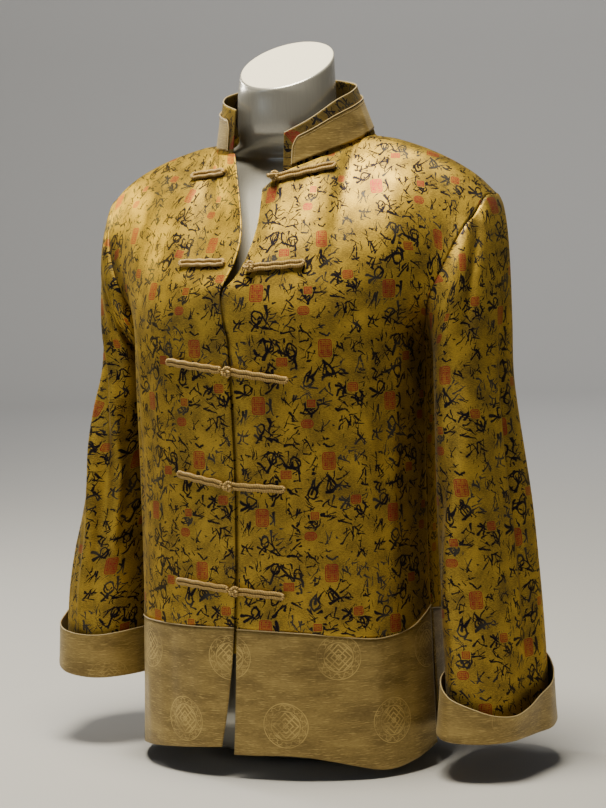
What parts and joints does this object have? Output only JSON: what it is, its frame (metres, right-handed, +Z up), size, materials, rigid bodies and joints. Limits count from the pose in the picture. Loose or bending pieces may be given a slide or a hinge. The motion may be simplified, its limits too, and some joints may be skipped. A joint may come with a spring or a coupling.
{
  "type": "mandarin collar jacket on a limbless dress form",
  "caption": "Mandarin collar jacket in gold brocade with a plain satin hem band, turned-back cuffs and cord frogs, on a limbless dress form.",
  "frame": {"origin": "centre of the dress form's flat base", "axes": "+Z up, the jacket's front faces -Y, the wearer's left side is +X"},
  "size_m": [0.6147, 0.305, 0.8084],
  "materials": {
    "form_satin": "silvery satin skin",
    "front_brocade_left": "brocade",
    "front_brocade_right": "brocade",
    "back_brocade": "brocade",
    "band_satin_left": "slub satin",
    "band_satin_right": "slub satin",
    "band_satin_back": "slub satin",
    "sleeve_brocade_left": "brocade",
    "sleeve_brocade_right": "brocade",
    "cuff_satin_left": "slub satin",
    "cuff_satin_right": "slub satin",
    "collar_brocade": "brocade",
    "overlay_satin": "slub satin",
    "placket_brocade": "brocade",
    "cord_loop_1": "twisted cord",
    "cord_button_1": "twisted cord",
    "cord_loop_2": "twisted cord",
    "cord_button_2": "twisted cord",
    "cord_loop_3": "twisted cord",
    "cord_button_3": "twisted cord",
    "cord_loop_4": "twisted cord",
    "cord_button_4": "twisted cord",
    "cord_loop_5": "twisted cord",
    "cord_button_5": "twisted cord"
  },
  "bodies": {
    "root": {"dress_form": "form_satin", "front_left": "front_brocade_left", "front_right": "front_brocade_right", "back": "back_brocade", "hem_band_front_left": "band_satin_left", "hem_band_front_right": "band_satin_right", "hem_band_back": "band_satin_back", "sleeve_left": "sleeve_brocade_left", "sleeve_right": "sleeve_brocade_right", "cuff_left": "cuff_satin_left", "cuff_right": "cuff_satin_right", "collar": "collar_brocade", "collar_overlay": "overlay_satin", "under_placket": "placket_brocade", "frog_1_loop": "cord_loop_1", "frog_1_button": "cord_button_1", "frog_2_loop": "cord_loop_2", "frog_2_button": "cord_button_2", "frog_3_loop": "cord_loop_3", "frog_3_button": "cord_button_3", "frog_4_loop": "cord_loop_4", "frog_4_button": "cord_button_4", "frog_5_loop": "cord_loop_5", "frog_5_button": "cord_button_5"}
  },
  "joints": []
}
